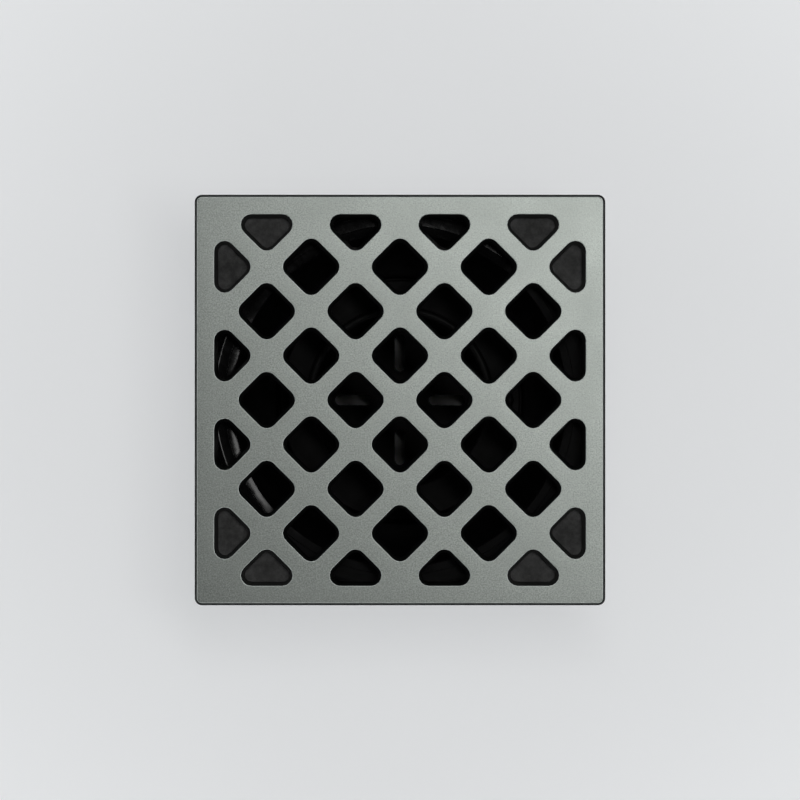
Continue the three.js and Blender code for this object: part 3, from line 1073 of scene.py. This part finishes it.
def cup_cutters(sizes, plastic):
    """What cuts the slots in the cup's wall and floor and the hole in the middle of its floor."""
    cutters = []
    in_wall = Matrix.Translation((sizes.mouth - 2 * MM, 0, WALL_SLOT_Z))
    for index in range(sizes.slots):
        slot = stadium_cutter("wall_slot", WALL_SLOT_LENGTH, WALL_SLOT_WIDTH, SLOT_CUT, plastic)
        turn = Matrix.Rotation((index + 0.5) * 2 * pi / sizes.slots, 4, "Z")
        slot.data.transform(turn @ in_wall)
        cutters.append(slot)
    lay = Matrix.Rotation(pi / 2, 4, "Y")
    in_floor = Matrix.Translation((FLOOR_SLOT_FROM_MIDDLE, 0, CUP_LOW.z + 1 * MM)) @ lay
    for index in range(sizes.floor_slots):
        slot = stadium_cutter("floor_slot", FLOOR_SLOT_LENGTH, FLOOR_SLOT_WIDTH, SLOT_CUT, plastic)
        turn = Matrix.Rotation(index * 2 * pi / sizes.floor_slots, 4, "Z")
        slot.data.transform(turn @ in_floor)
        cutters.append(slot)
    low, high = CUP_LOW.z - 3 * MM, CUP_LOW.z + 4 * MM
    bm = bmesh.new()
    revolve(bm, [(0, low), (DRAIN_HOLE, low), (DRAIN_HOLE, high), (0, high)], steps=32)
    cutters.append(finish_mesh("drain_hole", bm, plastic))
    return cutters


def boss(sizes, side, plastic):
    """One lug on the flange that holds an end of the wire."""
    pivot = BAIL_PIVOT_Z
    foot = pivot - 2.3 * MM
    turns = [pi * step / 14 for step in range(1, 14)]
    outline = [(-sizes.boss, foot), (sizes.boss, foot), (sizes.boss, pivot)]
    outline += [(sizes.boss * cos(turn), pivot + sizes.boss * sin(turn)) for turn in turns]
    outline += [(-sizes.boss, pivot)]
    soft = 0.35 * MM
    middle = pivot - 0.5 * MM
    inner, outer = sizes.boss_inner, sizes.boss_outer
    bm = bmesh.new()
    rows = []
    for x, shrink in ((inner, soft), (inner + soft, 0.0), (outer - soft, 0.0), (outer, soft)):
        scale = 1 - shrink / sizes.boss
        rows.append([Vector((side * x, y * scale, middle + (z - middle) * scale)) for y, z in outline])
    capped_skin(bm, rows)
    return finish_mesh("boss", bm, plastic)


def wire_hole(sizes, side, plastic):
    """What cuts the hole through a boss, with room for the wire to turn."""
    bm = bmesh.new()
    radius = sizes.wire * 1.22
    turns = [2 * pi * step / 24 for step in range(24)]
    ends = (sizes.boss_inner - 1 * MM, sizes.boss_outer + 1 * MM)
    rows = [
        [Vector((side * x, radius * cos(turn), BAIL_PIVOT_Z + radius * sin(turn))) for turn in turns]
        for x in ends
    ]
    capped_skin(bm, rows)
    return finish_mesh("wire_hole", bm, plastic)


class DRAIN_OT_mould_trap(bpy.types.Operator):
    """Mould the slotted cup with its flange and the two bosses for the handle"""

    bl_idname = "drain_cover.mould_trap"
    bl_label = "Mould trap cup"

    def execute(self, context):
        sizes = context.scene.drain_trap
        plastic = moulded_plastic("Trap plastic", sizes.colour, 0.5, 0.008 * MM, specular=0.12)
        rim = CUP_LOW.z + CUP_HEIGHT
        flange_foot = rim - sizes.flange
        radius = CUP_HIGH.x
        inner_floor = CUP_LOW.z + sizes.wall
        profile = rounded(
            [
                (0, CUP_LOW.z, 0),
                (sizes.floor, CUP_LOW.z, 1.2 * MM),
                (sizes.mouth, flange_foot, 0.6 * MM),
                (radius, flange_foot, 0.4 * MM),
                (radius, rim, 0.5 * MM),
                (sizes.mouth - sizes.wall, rim, 0.5 * MM),
                (sizes.floor - sizes.wall, inner_floor, 1.2 * MM),
                (0, inner_floor, 0),
            ],
            steps=4,
        )
        bm = bmesh.new()
        revolve(bm, profile, steps=144)
        cup = finish_mesh("trap_cup", bm, plastic)
        cup = applied(cup, *cup_cutters(sizes, plastic))
        cup = applied(cup, *[boss(sizes, side, plastic) for side in (1, -1)], operation="UNION")
        cup = applied(cup, *[wire_hole(sizes, side, plastic) for side in (1, -1)])
        cup.data.set_sharp_from_angle(angle=SHARP)
        placed(cup, "trap_body", "trap_plastic", "trap_basket")
        return {"FINISHED"}


class DRAIN_OT_seal_ring(bpy.types.Operator):
    """Mould the lipped rubber ring under the trap's flange"""

    bl_idname = "drain_cover.seal_ring"
    bl_label = "Seal ring"

    def execute(self, context):
        inner = 25.8 * MM
        outer = SEAL_HIGH.x
        low, high = SEAL_LOW.z, SEAL_HIGH.z
        middle = (low + high) / 2
        profile = rounded(
            [
                (inner, middle, 0),
                (inner, low, 0.35 * MM),
                (outer - 1.1 * MM, low, 0.3 * MM),
                (outer, low + 0.25 * MM, 0.25 * MM),
                (outer, high, 0.35 * MM),
                (inner, high, 0.35 * MM),
                (inner, middle, 0),
            ]
        )[:-1]
        bm = bmesh.new()
        revolve(bm, profile, steps=128, closed=True)
        ring = finish_mesh("seal_ring", bm, soft_rubber("Seal rubber"))
        placed(ring, "trap_body", "seal_rubber", "trap_seal")
        return {"FINISHED"}


class DRAIN_OT_bend_bail(bpy.types.Operator):
    """Bend the wire handle and hook its ends into the bosses"""

    bl_idname = "drain_cover.bend_bail"
    bl_label = "Bend handle"

    def execute(self, context):
        sizes = context.scene.drain_trap
        dome_height = sizes.wire * 0.6
        end = BAIL_HIGH.x - dome_height
        right = [
            (end, 0),
            (end - 2 * MM, 0),
            (sizes.boss_inner + 0.3 * MM, 0),
            (sizes.boss_inner - 0.3 * MM, 0.04 * MM),
            (sizes.bail + 1.2 * MM, 0.28 * MM),
            (sizes.bail + 0.5 * MM, 0.8 * MM),
            (sizes.bail + 0.1 * MM, 1.6 * MM),
        ]
        turns = [radians(8 + 164 * step / 44) for step in range(45)]
        bow = [(sizes.bail * cos(turn), sizes.bail * sin(turn)) for turn in turns]
        left = [(-x, y) for x, y in reversed(right)]
        points = [Vector((x, y, BAIL_PIVOT_Z)) for x, y in right + bow + left]
        bm = bmesh.new()
        tube(bm, points, sizes.wire, dome_height)
        wire = finish_mesh("bail_wire", bm, coated_wire())
        placed(wire, "bail_body", "bail_wire", "trap_bail")
        return {"FINISHED"}


# ---- The stage ----


def softbox(name, place, target, along, size, power, colour):
    """A rectangular lamp that faces target, its longer side turned along a direction."""
    lamp = bpy.data.lights.new(name, "AREA")
    lamp.shape = "RECTANGLE"
    lamp.size, lamp.size_y = size
    lamp.energy = power
    lamp.color = colour
    back = (Vector(place) - Vector(target)).normalized()
    across = (Vector(along) - back * back.dot(Vector(along))).normalized()
    turn = Matrix((across, back.cross(across), back)).transposed().to_4x4()
    holder = bpy.data.objects.new(name, lamp)
    holder.matrix_world = Matrix.Translation(place) @ turn
    holder.visible_camera = False
    bpy.context.scene.collection.objects.link(holder)


def sky(strength):
    """A pale studio: brightest half way up, dimmer towards the horizon and dark overhead."""
    world = bpy.data.worlds.new("Studio")
    bpy.context.scene.world = world
    world.use_nodes = True
    tree = world.node_tree
    background = tree.nodes["Background"]
    split = tree.nodes.new("ShaderNodeSeparateXYZ")
    tree.links.new(tree.nodes.new("ShaderNodeTexCoord").outputs["Generated"], split.inputs[0])
    ramp = tree.nodes.new("ShaderNodeValToRGB")
    tree.links.new(split.outputs["Z"], ramp.inputs[0])
    stops = ramp.color_ramp.elements
    stops.new(0.5)
    for stop, (height, level) in zip(stops, SKY_LEVELS):
        stop.position = height
        stop.color = (*tinted(SKY_TINT, level), 1.0)
    tree.links.new(ramp.outputs["Color"], background.inputs["Color"])
    background.inputs["Strength"].default_value = strength


class DRAIN_OT_set_stage(bpy.types.Operator):
    """Lay the floor, hang the lights and set the camera over the grate"""

    bl_idname = "drain_cover.set_stage"
    bl_label = "Set stage"

    def execute(self, context):
        settings = context.scene.drain_stage
        bm = bmesh.new()
        bmesh.ops.create_circle(bm, cap_ends=True, segments=96, radius=FLOOR_RADIUS)
        floor = finish_mesh("floor", bm, stage_floor(settings.floor))
        floor.location.z = RISER_LOW.z

        face = Vector((0, 0, GRATE_HIGH.z))
        softbox("Key", face + KEY_OFFSET, face, (1, -1, 0), KEY_SIZE, settings.key, LAMP_WHITE)
        sky(settings.fill)

        camera = bpy.data.cameras.new("Camera")
        camera.sensor_width = 36.0
        camera.lens = camera.sensor_width * settings.distance / settings.width
        camera.clip_start, camera.clip_end = 0.01, 20.0
        holder = bpy.data.objects.new("Camera", camera)
        holder.location = (0, 0, GRATE_HIGH.z + settings.distance)
        context.scene.collection.objects.link(holder)
        context.scene.camera = holder
        context.scene.view_settings.view_transform = "Standard"
        return {"FINISHED"}


# ---- Add-on ----

MAKERS = (
    DRAIN_OT_set_stage,
    DRAIN_OT_cast_grate,
    DRAIN_OT_corner_pads,
    DRAIN_OT_mould_riser,
    DRAIN_OT_mould_trap,
    DRAIN_OT_seal_ring,
    DRAIN_OT_bend_bail,
)
SETTINGS = {
    "drain_grate": GrateSettings,
    "drain_riser": RiserSettings,
    "drain_trap": TrapSettings,
    "drain_stage": StageSettings,
}


class DRAIN_PT_panel(bpy.types.Panel):
    """Buttons for each piece of the drain cover"""

    bl_idname = "DRAIN_PT_panel"
    bl_label = "Drain cover"
    bl_space_type = "VIEW_3D"
    bl_region_type = "UI"
    bl_category = "Drain cover"

    def draw(self, context):
        layout = self.layout
        for maker in MAKERS:
            layout.operator(maker.bl_idname)
        for name, group in SETTINGS.items():
            box = layout.box()
            for key in group.__annotations__:
                box.prop(getattr(context.scene, name), key)


def register():
    for group in SETTINGS.values():
        bpy.utils.register_class(group)
    for name, group in SETTINGS.items():
        setattr(bpy.types.Scene, name, PointerProperty(type=group))
    for maker in MAKERS:
        bpy.utils.register_class(maker)
    bpy.utils.register_class(DRAIN_PT_panel)


def unregister():
    bpy.utils.unregister_class(DRAIN_PT_panel)
    for maker in reversed(MAKERS):
        bpy.utils.unregister_class(maker)
    for name, group in SETTINGS.items():
        delattr(bpy.types.Scene, name)
        bpy.utils.unregister_class(group)


def main():
    """Makes the whole drain cover."""
    register()
    for maker in MAKERS:
        area, name = maker.bl_idname.split(".")
        getattr(getattr(bpy.ops, area), name)()


if __name__ == "__main__":
    main()
